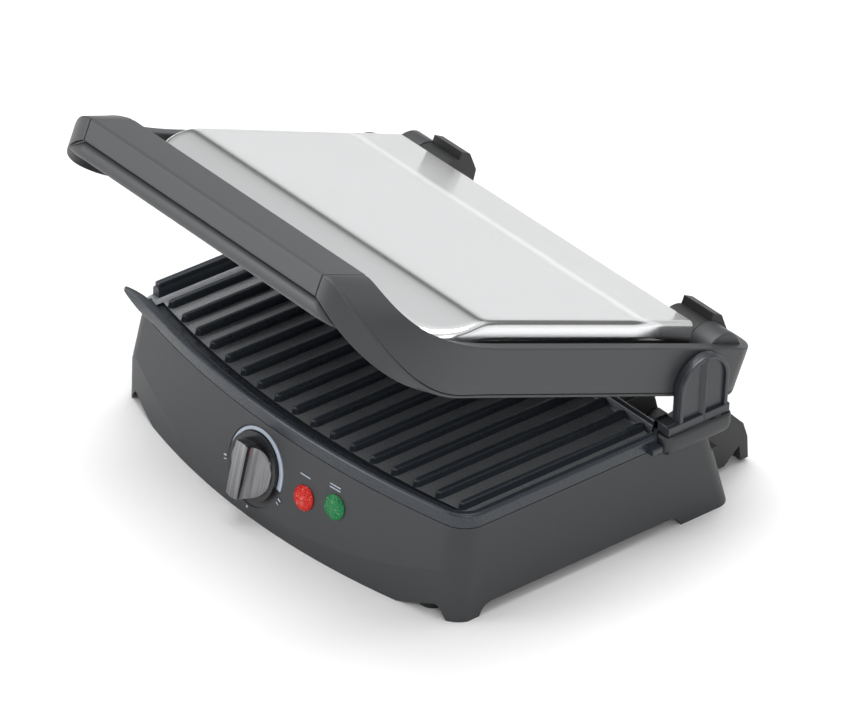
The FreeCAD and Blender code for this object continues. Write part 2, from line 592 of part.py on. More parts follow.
keep(cut("handle", handle_blank, grip_screws("handle_hole")), "handle_cover", LID)
keep(cut("grip", grip_blank, grip_screws("grip_hole")), "handle_grip", LID)
keep(group("grip_screws", grip_screws("grip_screw")), "handle_screws", LID)
bushes = [cut(f"bush_{n}", rod(f"bush_out_{n}", "x", (start_x, "0", "0"), "8", "bush_radius"),
              [rod(f"bush_in_{n}", "x", (f"({start_x}) - 1", "0", "0"), "10", "pin_radius + pin_clearance")])
          for n, start_x in enumerate(("arm_inner", "-arm_outer"))]
keep(group("bushes", bushes), "arm_bushes", LID)
float_pins = [rod(f"float_pin_{n}", "x", (start_x, "float_y", "float_z"), "27", "4")
              for n, start_x in enumerate(("118", "-145"))]
keep(group("float_pins", float_pins), "float_pins", LID)

# ---- upper housing, drawn about the pivot with the lid level: it floats about the rear pins -----------------

top_skin = extruded("top_skin", "YZ_Plane", "-cover_half", [
    ("0.8", "cover_top"), ("cover_front", "cover_top"), ("cover_front - 38.3", "cover_top - 15.5"),
    ("cover_front - 41", "cover_top - 22.5"), ("cover_front - 31", "cover_top - 22.5"),
    ("cover_front - 8", "cover_top - 11"), ("0.8", "cover_top - 11")], "2 * cover_half")
skin_plan = bowed_solid("skin_plan", "0", "40", "cover_half", "cover_front - 41", "5000", "0.8", "30", "2")
skin_front = extruded("skin_front", "XZ_Plane", "-10", [
    (f"{sign} * (cover_half - {inset})", f"cover_top - {drop}") for sign, steps in
    ((1, ((0, 30), (0, 8), (0.6, 4.9), (2.3, 2.3), (4.9, 0.6), (8, 0))),
     (-1, ((8, 0), (4.9, 0.6), (2.3, 2.3), (0.6, 4.9), (0, 8), (0, 30)))) for inset, drop in steps], "260")
skin_out = doc.addObject("Part::MultiCommon", "skin_out")
skin_out.Shapes = [top_skin, skin_plan, skin_front]
hollow_skin = extruded("hollow_skin", "YZ_Plane", "1 - cover_half", [
    ("-0.2", "cover_top - 1"), ("cover_front + 0.2", "cover_top - 1"), ("cover_front - 36", "cover_top - 15.6"),
    ("cover_front - 36", "cover_top - 30"), ("-0.2", "cover_top - 30")], "2 * cover_half - 2")
keep(cut("skin", skin_out, [hollow_skin]), "steel_cover", LID)

carrier_out = fuse("carrier_out", [
    block("carrier_box", ("-carrier_half", "carrier_half"), ("cover_front - 10", "2.5"), ("carrier_bottom", "13.7")),
    block("carrier_nose", ("12 - carrier_half", "carrier_half - 12"), ("cover_front - 34", "cover_front - 9"),
          ("1.5", "7"))])
carrier_shell = cut("carrier_shell", carrier_out, [
    block("carrier_cavity", ("3 - carrier_half", "carrier_half - 3"), ("cover_front - 7", "-6"),
          ("carrier_bottom - 1", "11.2"))])
posts = [rod(f"post_{n}", "z", (x, y, "upper_back"), "12 - upper_back", "5")
         for n, (x, y) in enumerate((x, y) for x in ("post_x", "-post_x") for y in ("post_front", "post_rear"))]
keep(fuse("carrier", [carrier_shell] + posts), "upper_housing", LID)

upper_blank = bowed_solid("upper_blank", "upper_floor", "upper_back - (upper_floor)", "carrier_half - 3.2",
                          "upper_front", "radius_ribs", "upper_rear", "14", "8")
doc.recompute()
tip_plan = new_sketch(upper_blank, "tip_plan", offset="upper_tips")
polygon(tip_plan, [("-rib_width / 2", "upper_front + 8"), ("rib_width / 2", "upper_front + 8"),
                   ("rib_width / 2", "upper_rear - 6"), ("-rib_width / 2", "upper_rear - 6")])
tip_rib = pad(upper_blank, "tip_rib", tip_plan, "upper_floor - (upper_tips)")
repeat(upper_blank, "tips_right", tip_rib, tip_plan, 7, False)
repeat(upper_blank, "tips_left", tip_rib, tip_plan, 7, True)
keep(upper_blank, "upper_plate", LID)
keep(heater("upper_heater", "upper_back + heater_radius", "-165", "-45"), "upper_heating_element", LID)
keep(cut("upper_tray", block("upper_tray_out", ("-119", "119"), ("-178", "-32"), ("3.2", "11.2")),
         [block("upper_tray_in", ("-118", "118"), ("-177", "-33"), ("2", "10.2"))]), "upper_reflector", LID)
upper_foot = fuse("upper_foot", [
    rod("foot_barrel", "x", ("barrel_inner", "float_y", "float_z"), "barrel_outer - barrel_inner", "barrel_radius"),
    block("foot_neck", ("barrel_inner", "barrel_outer"), ("2.5", "float_y"), ("-8", "14")),
    extruded("foot_flange", "YZ_Plane", "barrel_inner", [
        ("float_y + 1", "float_z + 14"), ("float_y + 1", "float_z + 20.5"), ("float_y + 9", "float_z + 19.5"),
        ("float_y + 19", "float_z + 9"), ("float_y + 20", "float_z + 1"), ("float_y + 14", "float_z + 1")],
        "barrel_outer - barrel_inner")])
upper_foot_solid = cut("upper_foot_solid", upper_foot,
                       [rod("upper_foot_bore", "x", ("117.5", "float_y", "float_z"), "20", "4.05")])
upper_foot_solid.Placement = LID
both_sides("upper_foot", upper_foot_solid)

# ---- check and write -----------------------------------------------------------------------------------------

doc.recompute()
failed = [item.Name for item in doc.Objects if "Invalid" in item.State or "Error" in item.State]
if failed:
    raise RuntimeError("failed objects: " + ", ".join(failed))
os.makedirs("parts", exist_ok=True)
for node in NODES:
    shape = node.Shape
    if shape.isNull() or not shape.isValid() or shape.Volume <= 0:
        raise RuntimeError(node.Label + " has no valid shape")
    shape.exportStep(f"parts/{node.Label}.step")
    print(f"{node.Label}: {len(shape.Solids)} solid(s), {shape.Volume / 1000:.1f} cm3")
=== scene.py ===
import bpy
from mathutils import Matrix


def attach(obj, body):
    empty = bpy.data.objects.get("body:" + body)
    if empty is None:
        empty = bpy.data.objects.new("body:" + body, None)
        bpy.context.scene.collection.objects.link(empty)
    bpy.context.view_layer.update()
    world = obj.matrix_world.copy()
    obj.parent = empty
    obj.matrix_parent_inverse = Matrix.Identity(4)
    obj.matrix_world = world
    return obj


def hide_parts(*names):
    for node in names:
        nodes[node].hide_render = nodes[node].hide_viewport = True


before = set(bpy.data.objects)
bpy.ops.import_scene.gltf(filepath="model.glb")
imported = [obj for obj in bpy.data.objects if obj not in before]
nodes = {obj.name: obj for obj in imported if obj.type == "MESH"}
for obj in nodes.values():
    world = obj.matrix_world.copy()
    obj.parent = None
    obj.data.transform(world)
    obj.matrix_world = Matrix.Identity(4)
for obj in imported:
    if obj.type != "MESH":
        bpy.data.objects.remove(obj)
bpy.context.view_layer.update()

import math

import bmesh
import bpy
from mathutils import Matrix, Vector

MM = 0.001  # the numbers below are millimetres, and the scene is in metres
scene = bpy.context.scene


# ---- studio: floor, light and camera -----------------------------------------------------------------
# A plain pale floor and soft light from above, so that the press throws a soft shadow.

TARGET = Vector((0, 0.01614, 0.06882))
AZIMUTH, ELEVATION, ROLL = (math.radians(angle) for angle in (48.47, 32.67, -2.63))
DISTANCE, LENS, SENSOR = 4.115, 284.3, 36

camera_data = bpy.data.cameras.new("camera")
camera_data.lens = LENS
camera_data.sensor_width = SENSOR
camera_data.clip_end = 50
camera = bpy.data.objects.new("camera", camera_data)
scene.collection.objects.link(camera)
back = Vector((math.sin(AZIMUTH) * math.cos(ELEVATION), -math.cos(AZIMUTH) * math.cos(ELEVATION),
               math.sin(ELEVATION)))
level = Vector((math.cos(AZIMUTH), math.sin(AZIMUTH), 0))
upward = back.cross(level)
right = level * math.cos(ROLL) - upward * math.sin(ROLL)
upright = level * math.sin(ROLL) + upward * math.cos(ROLL)
turned = Matrix((right, upright, back)).transposed().to_4x4()
camera.matrix_world = Matrix.Translation(TARGET + back * DISTANCE) @ turned
scene.camera = camera


def link(name, mesh):
    item = bpy.data.objects.new(name, mesh)
    scene.collection.objects.link(item)
    return item


def area_light(name, place, aim, size, power):
    data = bpy.data.lights.new(name, "AREA")
    data.shape = "RECTANGLE"
    data.size, data.size_y = size
    data.energy = power
    lamp = link(name, data)
    lamp.location = place
    lamp.rotation_euler = (Vector(aim) - Vector(place)).to_track_quat("-Z", "Y").to_euler()


area_light("top_softbox", (-0.25, 0.1, 1.9), (0, 0, 0.1), (1.5, 1.3), 34)
area_light("front_softbox", (-1.1, -1.9, 0.75), (0, 0, 0.08), (0.9, 0.8), 17)
area_light("right_softbox", (1.9, -0.9, 1.3), (0, 0, 0.08), (0.8, 0.8), 9)


# ---- materials: how a finish is written --------------------------------------------------------------
# Every finish is a Principled shader with patterns on Object coordinates, in metres on the part itself.

class Field:
    """A socket of a node tree, so that sums on it are written with Python's operators."""

    def __init__(self, tree, socket):
        self.tree, self.socket = tree, socket

    def sum(self, operation, first, second):
        return self.tree.add("ShaderNodeMath", {"operation": operation}, {0: first, 1: second})

    def __add__(self, other):
        return self.sum("ADD", self, other)

    def __sub__(self, other):
        return self.sum("SUBTRACT", self, other)

    def __mul__(self, other):
        return self.sum("MULTIPLY", self, other)

    def __truediv__(self, other):
        return self.sum("DIVIDE", self, other)

    def __lt__(self, other):
        return self.sum("LESS_THAN", self, other)

    def __rsub__(self, other):
        return self.sum("SUBTRACT", other, self)

    __radd__, __rmul__ = __add__, __mul__


class Tree:
    """A node tree; add() makes any node, its settings first, then the values or links of its sockets."""

    def __init__(self, nodes_tree):
        self.tree = nodes_tree

    def add(self, kind, settings=None, sockets=None, out=0):
        node = self.tree.nodes.new(kind)
        for key, setting in (settings or {}).items():
            if key == "stops":
                ramp = node.color_ramp
                while len(ramp.elements) < len(setting):
                    ramp.elements.new(0.5)
                for element, (place, shade) in zip(ramp.elements, setting):
                    element.position = place
                    element.color = (*shade, 1) if isinstance(shade, tuple) else (shade, shade, shade, 1)
            else:
                setattr(node, key, setting)
        for key, given in (sockets or {}).items():
            if isinstance(given, Field):
                self.tree.links.new(given.socket, node.inputs[key])
            else:
                node.inputs[key].default_value = given
        return Field(self, node.outputs[out])

    def between(self, factor, low, high):
        """A colour between two others."""
        return self.add("ShaderNodeMix", {"data_type": "RGBA"}, {0: factor, 6: (*low, 1), 7: (*high, 1)}, 2)

    def noise(self, place, scale, detail=2.0, roughness=0.5):
        return self.add("ShaderNodeTexNoise", {}, {"Vector": place, "Scale": scale, "Detail": detail,
                                                   "Roughness": roughness})


world = bpy.data.worlds.new("studio")
scene.world = world
world.use_nodes = True
scene.view_settings.view_transform = "Standard"
sky = Tree(world.node_tree)
height = sky.add("ShaderNodeSeparateXYZ", {}, {0: sky.add("ShaderNodeTexCoord")}, 2)
# White at the horizon, then a dark band that draws a line along each roll of the steel, pale overhead.
SKY = ((0.0, 1.0), (0.10, 1.0), (0.18, 0.35), (0.26, 0.03), (0.38, 0.03), (0.48, 0.50), (0.62, 0.78),
       (1.0, 0.55))
glow = sky.add("ShaderNodeValToRGB", {"stops": SKY}, {0: height})
background = world.node_tree.nodes["Background"]
world.node_tree.links.new(glow.socket, background.inputs["Color"])
background.inputs["Strength"].default_value = 1.0


def finish(name, constants):
    """A new material: its tree, its Object coordinates, and its shader."""
    material = bpy.data.materials.new(name)
    material.use_nodes = True
    tree = Tree(material.node_tree)
    shader = material.node_tree.nodes["Principled BSDF"]
    for socket, number in constants.items():
        shader.inputs[socket].default_value = number
    place = tree.add("ShaderNodeTexCoord", out=3)
    return material, tree, shader, place


def feed(tree, shader, **fields):
    """Links fields to the shader's inputs, named with underscores for spaces."""
    for socket, field in fields.items():
        tree.tree.links.new(field.socket, shader.inputs[socket.replace("_", " ")])


def roughen(tree, shader, height, strength, distance):
    """A fine bump; the distance is in metres."""
    feed(tree, shader, Normal=tree.add("ShaderNodeBump", {}, {"Strength": strength, "Distance": distance,
                                                              "Height": height}))


def moulded(name, dark, light, grain, roughness, depth):
    """Moulded plastic with a fine spark-eroded grain and slight flow marks."""
    material, tree, shader, place = finish(name, {"IOR": 1.5})
    cloud = tree.noise(place, 14, 3)
    speck = tree.noise(place, grain, 2, 0.6)
    feed(tree, shader, Base_Color=tree.between(cloud * 0.6 + speck * 0.4, dark, light),
         Roughness=speck * 0.16 + cloud * 0.06 + (roughness - 0.11))
    roughen(tree, shader, speck, depth, 0.0002)
    return material


def metal(name, dark, light, stretch, roughness, depth):
    """Metal with fine directional brushing: the pattern is stretched along one axis."""
    material, tree, shader, place = finish(name, {"Metallic": 1.0})
    brushed = tree.add("ShaderNodeMapping", {}, {"Vector": place, "Scale": stretch})
    line = tree.noise(brushed, 40, 3, 0.6)
    cloud = tree.noise(place, 9, 3)
    feed(tree, shader, Base_Color=tree.between(line * 0.5 + cloud * 0.5, dark, light),
         Roughness=line * 0.12 + cloud * 0.08 + (roughness - 0.1))
    roughen(tree, shader, line, depth, 0.0001)
    return material


housing_plastic = moulded("housing_plastic", (0.024, 0.0255, 0.028), (0.036, 0.038, 0.041), 2600, 0.50, 0.25)
frame_plastic = moulded("frame_plastic", (0.036, 0.0375, 0.040), (0.052, 0.0535, 0.056), 2600, 0.42, 0.2)
black_plastic = moulded("black_plastic", (0.009, 0.0092, 0.0098), (0.026, 0.0265, 0.028), 1100, 0.5, 0.6)
upright_plastic = moulded("upright_plastic", (0.022, 0.025, 0.030), (0.036, 0.040, 0.046), 2200, 0.32, 0.2)
rubber = moulded("rubber", (0.010, 0.010, 0.010), (0.020, 0.020, 0.020), 900, 0.75, 0.5)
phenolic = moulded("phenolic", (0.060, 0.032, 0.018), (0.110, 0.065, 0.035), 900, 0.5, 0.3)
zinc = metal("zinc_steel", (0.42, 0.43, 0.45), (0.62, 0.63, 0.65), (1, 1, 1), 0.35, 0.2)
sheet_metal = metal("sheet_aluminium", (0.60, 0.61, 0.62), (0.78, 0.79, 0.80), (1, 12, 1), 0.35, 0.2)
bronze = metal("bronze", (0.42, 0.24, 0.10), (0.60, 0.38, 0.18), (1, 1, 1), 0.4, 0.3)


def coat(node, material):
    """Gives a CAD body its finish."""
    slots = nodes[node].data.materials
    slots.clear()
    slots.append(material)


# ---- base housing, bottom cover, feet and inner fittings ---------------------------------------------
# The housing is one dark grey moulding, open at the top for the cooking plate; the bottom cover is
# screwed up into it on four rubber feet.  Inside are the heater, its tray, the thermostat and terminals.
# The CAD bodies that show as they are, in the base and in the lid, get their finish here.

for node, material in (
        ("base_housing", housing_plastic), ("bottom_cover", black_plastic), ("base_screws", zinc),
        ("rubber_feet", rubber), ("lower_heating_element", zinc), ("lower_reflector", sheet_metal),
        ("thermal_fuse", phenolic), ("thermostat", phenolic), ("thermostat_bracket", zinc),
        ("thermostat_shaft", zinc), ("lamp_holders", phenolic), ("cord_gland", black_plastic),
        ("terminal_block", phenolic), ("hinge_well_right", black_plastic), ("hinge_well_left", black_plastic),
        ("rear_foot_right", black_plastic), ("rear_foot_left", black_plastic), ("hinge_pins", zinc),
        ("handle_screws", zinc), ("arm_bushes", bronze), ("float_pins", zinc),
        ("upper_housing", black_plastic), ("upper_heating_element", zinc), ("upper_reflector", sheet_metal),
        ("upper_foot_right", black_plastic), ("upper_foot_left", black_plastic)):
    coat(node, material)


# ---- lower cooking plate -----------------------------------------------------------------------------
# A die-cast aluminium plate under a glossy black non-stick coating.  It lies on the housing's edge,
# with a raised lip, a fat gutter behind the lip and seventeen ribs.

HALF_SEAM, SEAM, RIM_TOP, FLOOR, RIB_TOP = 157.5, 63.2, 73.0, 66.2, 70.8
FRONT_SEAM, RADIUS_SEAM, PLATE_REAR, PLATE_CORNER, LIP_ROUND = -105.5, 621.0, 76.9, 18.0, 2.4
RIB_PITCH, RIB_WIDTH, RIB_COUNT, RIB_FRONT, RIB_REAR, RIB_BOW = 17.37, 5.0, 17, -88.1, 71.5, 688
GUTTER_FRONT, GUTTER_REAR, GUTTER_HALF, GUTTER_LOW = -98.2, -88.6, 146, 64.2
NOTCH_X, NOTCH_Y, SPOUT_EDGE, SPOUT_REAR, RAIL_TOP, RAIL_FRONT = 147.6, 66.4, -146, -72, 75.4, -71
FAR = 175  # past the sides of everything


def arc_points(centre, radius, start, end, count):
    """Points on an arc, angles in degrees."""
    turns = [math.radians(start + (end - start) * step / (count - 1)) for step in range(count)]
    return [Vector((centre[0] + radius * math.cos(turn), centre[1] + radius * math.sin(turn)))
            for turn in turns]


def bowed_outline(half, front, radius, rear, corner_front, corner_rear):
    """A plan outline with a bowed front and four rounded corners, always with the same number of points."""
    centre_y = front + radius
    corner_y = centre_y - math.sqrt((radius - corner_front) ** 2 - (half - corner_front) ** 2)
    lean = math.degrees(math.atan2(half - corner_front, centre_y - corner_y))
    points = arc_points((0, centre_y), radius, 270 - lean, 270 + lean, 49)
    points += arc_points((half - corner_front, corner_y), corner_front, 270 + lean, 360, 14)[1:]
    points += arc_points((half - corner_rear, rear - corner_rear), corner_rear, 0, 90, 10)
    points += arc_points((corner_rear - half, rear - corner_rear), corner_rear, 90, 180, 10)
    points += arc_points((corner_front - half, corner_y), corner_front, 180, 270 - lean, 14)[:-1]
    return points


def skin(rings, closed_ends=True, looped=True):
    """A mesh through rings of points: walls between them and a face on each end."""
    shape = bmesh.new()
    rows = [[shape.verts.new(Vector(point) * MM) for point in ring] for ring in rings]
    count = len(rows[0])
    for low, high in zip(rows, rows[1:]):
        for step in range(count if looped else count - 1):
            following = (step + 1) % count
            shape.faces.new((low[step], low[following], high[following], high[step]))
    if closed_ends:
        shape.faces.new(list(reversed(rows[0])))
        shape.faces.new(rows[-1])
    bmesh.ops.recalc_face_normals(shape, faces=shape.faces)
    return shape


def smooth_but(mesh, sharp):
    """Shades a mesh smooth, except over edges sharper than an angle in degrees."""
    mesh.shade_smooth()
    mesh.set_sharp_from_angle(angle=math.radians(sharp))


def mesh_from(name, shape):
    """A mesh from a bmesh, which is freed."""
    mesh = bpy.data.meshes.new(name)
    shape.to_mesh(mesh)
    shape.free()
    return mesh


def piece_from(name, shape, material, smooth=True, sharp=None):
    """An object at the origin from a bmesh."""
    mesh = mesh_from(name, shape)
    mesh.materials.append(material)
    if sharp is not None:
        smooth_but(mesh, sharp)
    elif smooth:
        mesh.shade_smooth()
    return link(name, mesh)


def merge(shape, other):
    """Adds a closed shape to another, as one more shell."""
    mesh = mesh_from("shell", other)
    shape.from_mesh(mesh)
    bpy.data.meshes.remove(mesh)


def hand_in(item, body, slot, *cad_nodes):
    """Says which body the piece moves with and hides the CAD nodes it stands in for; the colour slot is not
    used.
    """
    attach(item, body)
    for node in cad_nodes:
        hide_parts(node)


def add_box(shape, low, high):
    """Adds a block between two corners to a bmesh."""
    low, high = Vector(low), Vector(high)
    for vert in bmesh.ops.create_cube(shape, size=1)["verts"]:
        vert.co = (low + high) / 2 + Vector([along * size for along, size in zip(vert.co, high - low)])
        vert.co *= MM


def soften(item, width, segments=3, limit=35):
    """Rounds the item's hard edges and keeps its flat faces flat."""
    bevel = item.modifiers.new("soften", "BEVEL")
    bevel.width = width * MM
    bevel.segments = segments
    bevel.limit_method = "ANGLE"
    bevel.angle_limit = math.radians(limit)
    bevel.harden_normals = False
    item.modifiers.new("flat", "WEIGHTED_NORMAL").keep_sharp = True


plate_coating, tree, shader, place = finish("plate_coating", {"IOR": 1.5})
fine = tree.noise(place, 1500, 2, 0.6)
broad = tree.noise(place, 30, 3)
feed(tree, shader, Base_Color=tree.between(fine, (0.014, 0.018, 0.024), (0.036, 0.043, 0.054)),
     Roughness=fine * 0.16 + broad * 0.1 + 0.16)
roughen(tree, shader, fine, 0.5, 0.0002)

# The floor between the ribs gets a lighter, metallic grey copy of the black coating: the lightness is a
# painted sheen.
floor_painted_sheen, tree, shader, place = finish("floor_painted_sheen", {"IOR": 1.5, "Metallic": 0.7})
fine = tree.noise(place, 1100, 2, 0.7)
broad = tree.noise(place, 22, 3)
feed(tree, shader, Base_Color=tree.between(fine, (0.14, 0.147, 0.156), (0.66, 0.67, 0.69)),
     Roughness=fine * 0.2 + broad * 0.15 + 0.2)
roughen(tree, shader, fine, 0.6, 0.0002)


def plate_ring(inset, height):
    """The plate's outline, drawn in all round, at one height."""
    outline = bowed_outline(HALF_SEAM - inset, FRONT_SEAM + inset, RADIUS_SEAM, PLATE_REAR - inset,
                            max(PLATE_CORNER - inset, 2), max(4 - inset, 1.2))
    return [(point.x, point.y, height) for point in outline]


rings = [plate_ring(3.2, 59.0), plate_ring(3.2, SEAM), plate_ring(0.5, SEAM), plate_ring(0, SEAM + 0.6),
         plate_ring(0, RIM_TOP - LIP_ROUND)]
for step in range(1, 6):
    turn = math.radians(18 * step)
    rings.append(plate_ring(LIP_ROUND * (1 - math.cos(turn)), RIM_TOP - LIP_ROUND * (1 - math.sin(turn))))
rings += [plate_ring(4.6, RIM_TOP), plate_ring(5.2, RIM_TOP - 0.3), plate_ring(5.6, RIM_TOP - 1),
          plate_ring(6.2, FLOOR + 1.2), plate_ring(6.8, FLOOR + 0.3), plate_ring(7.8, FLOOR)]
tray = piece_from("plate_casting", skin(rings), plate_coating, sharp=40)
tray.data.materials.append(floor_painted_sheen)


def carve(item, *cutters):
    """Cuts closed shapes out of an item, and leaves a plain mesh."""
    for cutter in cutters:
        tool = piece_from("cutter", cutter, item.data.materials[0], smooth=False)
        cut = item.modifiers.new("cut", "BOOLEAN")
        cut.operation, cut.solver, cut.object = "DIFFERENCE", "EXACT", tool
        bake(item)
        bpy.data.objects.remove(tool)


def bake(item):
    """Turns an item with its modifiers into a plain mesh."""
    bpy.context.view_layer.update()
    mesh = bpy.data.meshes.new_from_object(item.evaluated_get(bpy.context.evaluated_depsgraph_get()))
    item.modifiers.clear()
    item.data = mesh


def box_shape(low, high):
    """A block of its own between two corners."""
    shape = bmesh.new()
    add_box(shape, low, high)
    return shape


def bow(x, radius):
    """How far an arc across the front has fallen back at x."""
    return radius - math.sqrt(radius ** 2 - x ** 2)


def bowed_strip(front, radius_front, back, radius_back, half, low, high, count=49):
    """A closed curved strip across the plate, between two bowed edges."""
    stations = [half * (2 * step / (count - 1) - 1) for step in range(count)]
    return skin([[(x, front + bow(x, radius_front), low), (x, back + bow(x, radius_back), low),
                  (x, back + bow(x, radius_back), high), (x, front + bow(x, radius_front), high)]
                 for x in stations])


# The rear corners are notched round the hinges, the lip is open at the spout, and the gutter is sunk.
carve(tray, box_shape((NOTCH_X, NOTCH_Y, 50), (FAR, 95, 80)),
      box_shape((-FAR, NOTCH_Y, 50), (-NOTCH_X, 95, 80)),
      box_shape((-FAR, -84.6, FLOOR + 0.02), (SPOUT_EDGE, SPOUT_REAR, 90)),
      bowed_strip(GUTTER_FRONT, RADIUS_SEAM, GUTTER_REAR, RIB_BOW, GUTTER_HALF, GUTTER_LOW, 67))
# The floor's upward faces take the painted sheen.
for face in tray.data.polygons:
    if face.normal.z > 0.9 and abs(face.center.z - FLOOR * MM) < 0.4 * MM:
        face.material_index = 1
smooth_but(tray.data, 35)


def rounded(corners, radius, count=4):
    """A closed outline with each corner eased by a short curve."""
    ring = []
    for number, corner in enumerate(corners):
        before, after = corners[number - 1] - corner, corners[(number + 1) % len(corners)] - corner
        enter = corner + before.normalized() * min(radius, before.length * 0.42)
        leave = corner + after.normalized() * min(radius, after.length * 0.42)
        for step in range(count + 1):
            part = step / count
            ring.append(enter * (1 - part) ** 2 + corner * 2 * part * (1 - part) + leave * part ** 2)
    return ring


spout_rings = []  # from inside the lip out to the thin pouring edge
for x, front, rear, top, bottom in ((-108, -95.6, -90.4, 72.8, 63.4), (-120, -93.9, -88.4, 73.1, 63.4),
                                    (-132, -92.0, -86.2, 73.5, 63.4), (-143, -90.9, -84.7, 74.1, 63.6),
                                    (-150, -90.7, -84.9, 74.8, 65.2), (-156, -91.0, -86.0, 75.4, 68.0),
                                    (-160, -91.3, -87.6, 75.9, 70.6), (-162, -91.3, -88.8, 76.1, 72.2)):
    spout_rings.append(rounded([Vector((x, front, bottom)), Vector((x, front, top)), Vector((x, rear, top)),
                                Vector((x, rear, bottom))], 2.2))
spout_lip = piece_from("spout_lip", skin(spout_rings), plate_coating, sharp=60)

rail = bmesh.new()
add_box(rail, (0.2 - HALF_SEAM, RAIL_FRONT, FLOOR), (5 - HALF_SEAM, NOTCH_Y - 0.1, RAIL_TOP))
for lug_x in (150, -163.5):
    add_box(rail, (lug_x, 58, 63.4), (lug_x + 13.5, NOTCH_Y, 68))
side_rail = piece_from("plate_rail_and_lugs", rail, plate_coating)
soften(side_rail, 1.0)

rib_rings = []
for inset, height in ((-0.5, FLOOR - 0.2), (0, FLOOR + 0.6), (0.25, RIB_TOP - 1.7), (0.45, RIB_TOP - 0.9),
                      (0.95, RIB_TOP - 0.3), (1.6, RIB_TOP)):
    radius = RIB_WIDTH / 2 - inset
    rear, front = RIB_REAR - RIB_WIDTH / 2, RIB_FRONT + RIB_WIDTH / 2
    ring = arc_points((0, rear), radius, 0, 180, 9) + arc_points((0, front), radius, 180, 360, 9)
    rib_rings.append([(point.x, point.y, height) for point in ring])
ribs = piece_from("plate_ribs", skin(rib_rings), plate_coating)

rib_group = bpy.data.node_groups.new("rib_row", "GeometryNodeTree")
rib_group.is_modifier = True
for name, kind, way in (("Rib", "NodeSocketGeometry", "INPUT"), ("Pitch", "NodeSocketFloat", "INPUT"),
                        ("Count", "NodeSocketInt", "INPUT"), ("Bow radius", "NodeSocketFloat", "INPUT"),
                        ("Coating", "NodeSocketMaterial", "INPUT"), ("Row", "NodeSocketGeometry", "OUTPUT")):
    rib_group.interface.new_socket(name, in_out=way, socket_type=kind)
row = Tree(rib_group)
inlet = rib_group.nodes.new("NodeGroupInput")
one_rib, pitch, count, radius, coating = (Field(row, inlet.outputs[name]) for name in
                                          ("Rib", "Pitch", "Count", "Bow radius", "Coating"))
first = row.add("ShaderNodeCombineXYZ", {}, {"X": (count - 1) * pitch * -0.5})
stride = row.add("ShaderNodeCombineXYZ", {}, {"X": pitch})
line = row.add("GeometryNodeMeshLine", {}, {"Count": count, "Start Location": first, "Offset": stride})
copies = row.add("GeometryNodeInstanceOnPoints", {}, {"Points": line, "Instance": one_rib})
solid = row.add("GeometryNodeRealizeInstances", {}, {"Geometry": copies})
spot = row.add("GeometryNodeInputPosition")
across = row.add("ShaderNodeSeparateXYZ", {}, {0: spot})
along = row.add("ShaderNodeSeparateXYZ", {}, {0: spot}, out=1)
middle = row.add("ShaderNodeMath", {"operation": "ROUND"}, {0: across / pitch}) * pitch
depth = radius - row.add("ShaderNodeMath", {"operation": "SQRT"}, {0: radius * radius - middle * middle})
shift = row.add("ShaderNodeCombineXYZ", {}, {"Y": depth * (along < 0)})
moved = row.add("GeometryNodeSetPosition", {}, {"Geometry": solid, "Offset": shift})
coated = row.add("GeometryNodeSetMaterial", {}, {"Geometry": moved, "Material": coating})
outlet = rib_group.nodes.new("NodeGroupOutput")
rib_group.links.new(coated.socket, outlet.inputs["Row"])
rower = ribs.modifiers.new("rib_row", "NODES")
rower.node_group = rib_group
inputs = {item.name: item.identifier for item in rib_group.interface.items_tree if item.in_out == "INPUT"}
rower[inputs["Pitch"]] = RIB_PITCH * MM
rower[inputs["Count"]] = RIB_COUNT
rower[inputs["Bow radius"]] = RIB_BOW * MM
rower[inputs["Coating"]] = plate_coating
bake(ribs)
ribs.data.shade_smooth()

for item in (tray, spout_lip, side_rail, ribs):
    hand_in(item, "base", "plate_coating", "lower_plate")
coat("upper_plate", plate_coating)


# ---- front band: dial, knob and lamps ----------------------------------------------------------------
# The knob is a plated moulding with a grip bar between two scoops.  It turns on the thermostat's
# shaft in a shallow recess, inside a printed arc.  Two faceted lenses show power and ready.

RAKE = math.radians(11.6)


def band_frame(x, z, out=0.0):
    """A frame on the raked front band: X along the band, Y up it, Z square out of it."""
    lean = math.asin(x / RADIUS_SEAM)
    away = Vector((math.sin(lean) * math.cos(RAKE), -math.cos(lean) * math.cos(RAKE), math.sin(RAKE)))
    along_band = Vector((math.cos(lean), math.sin(lean), 0))
    up_band = away.cross(along_band)
    place = Vector((x, FRONT_SEAM + bow(x, RADIUS_SEAM) - (SEAM - z) * math.tan(RAKE), z)) + away * out
    return Matrix.Translation(place) @ Matrix((along_band, up_band, away)).transposed().to_4x4()


KNOB_X, KNOB_Z, KNOB_RADIUS, KNOB_TALL, KNOB_FOOT = -6.2, 34.2, 18.6, 15.5, 0.6
BAR_HALF, SCOOP_FLOOR, EDGE_DROP = 5.4, 3.6, 0.5
BAR_EDGES = (4.2, 5.0, 5.4, 5.5, 5.8, 6.4)  # extra columns where the bar turns down into the scoop
ROW_POINTS = 15
knob_frame = band_frame(KNOB_X, KNOB_Z)


def knob_height(across_knob):
    """How far the knob stands out: a nearly flat bar, then a hollow scoop to the rim on each side."""
    reach = abs(across_knob)
    if reach <= BAR_HALF:
        return KNOB_TALL - EDGE_DROP * (reach / BAR_HALF) ** 4
    fall = (KNOB_RADIUS - reach) / (KNOB_RADIUS - BAR_HALF)
    return SCOOP_FLOOR + (KNOB_TALL - EDGE_DROP - SCOOP_FLOOR) * (1 - math.sqrt(max(1 - fall ** 2, 0)))


knob_shape = bmesh.new()


def knob_point(x, y, out):
    """A vertex of the knob, placed in the band's frame."""
    return knob_shape.verts.new(knob_frame @ Vector((x, y, out)) * MM)


